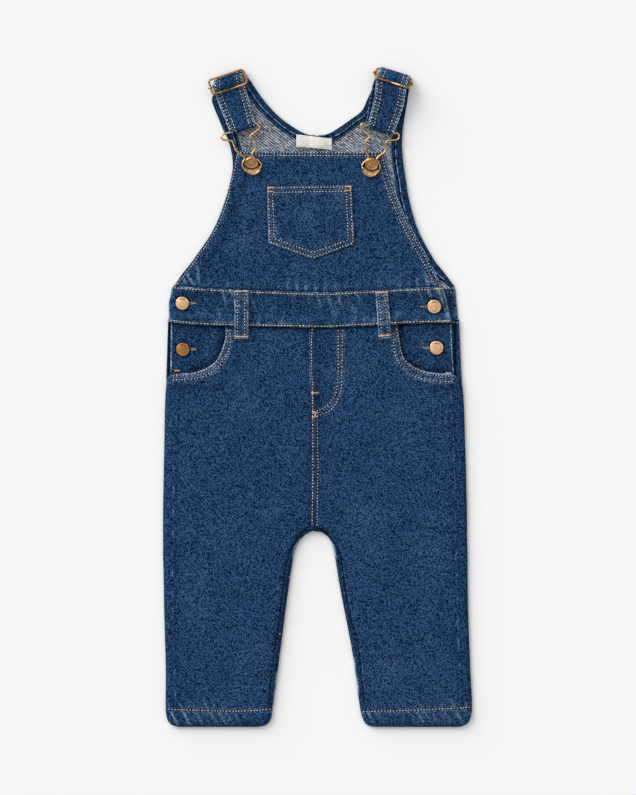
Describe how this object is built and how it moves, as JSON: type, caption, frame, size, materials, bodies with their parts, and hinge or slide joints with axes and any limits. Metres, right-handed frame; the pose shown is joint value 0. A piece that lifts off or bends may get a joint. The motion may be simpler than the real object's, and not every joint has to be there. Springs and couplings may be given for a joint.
{
  "type": "kids dungarees",
  "caption": "Child's blue denim dungarees laid flat, with a patch pocket on the bib, scooped hip pockets, side buttons, belt loops and straps hooked to the bib.",
  "frame": {"origin": "middle of the bounding box on the surface the garment lies on", "axes": "+Y from the leg hems to the shoulders, +Z from the surface to the front of the garment, +X to the wearer's left"},
  "size_m": [0.278, 0.5941, 0.0129],
  "materials": {
    "denim": "matte washed indigo twill",
    "denim_inside": "matte wrong side of the twill, grey-blue",
    "label": "matte woven tape, blank",
    "brass": "polished",
    "antique_brass": "dull, browned"
  },
  "bodies": {
    "root": {"back_leg_right": "denim", "back_leg_left": "denim", "back_waistband": "denim", "back_neck_hem": "denim", "back_armhole_hem_right": "denim", "back_armhole_hem_left": "denim", "side_placket_right": "denim", "side_placket_left": "denim", "pocket_facing_right": "denim", "pocket_facing_left": "denim", "front_bib": "denim", "front_leg_right": "denim", "front_leg_left": "denim", "front_waistband": "denim", "bib_pocket": "denim", "belt_loop_right": "denim", "belt_loop_left": "denim", "shoulder_strap_right": "denim", "shoulder_strap_left": "denim", "back_bib": "denim_inside", "neck_label": "label", "side_button_right_upper": "brass", "side_button_right_lower": "brass", "side_button_left_upper": "brass", "side_button_left_lower": "brass", "bib_hook_wire_right": "brass", "bib_hook_wire_left": "brass", "bib_hook_plate_right": "brass", "bib_hook_plate_left": "brass", "strap_slider_frame_right": "brass", "strap_slider_frame_left": "brass", "strap_slider_bar_right": "brass", "strap_slider_bar_left": "brass", "bib_button_right": "antique_brass", "bib_button_left": "antique_brass"}
  },
  "joints": []
}
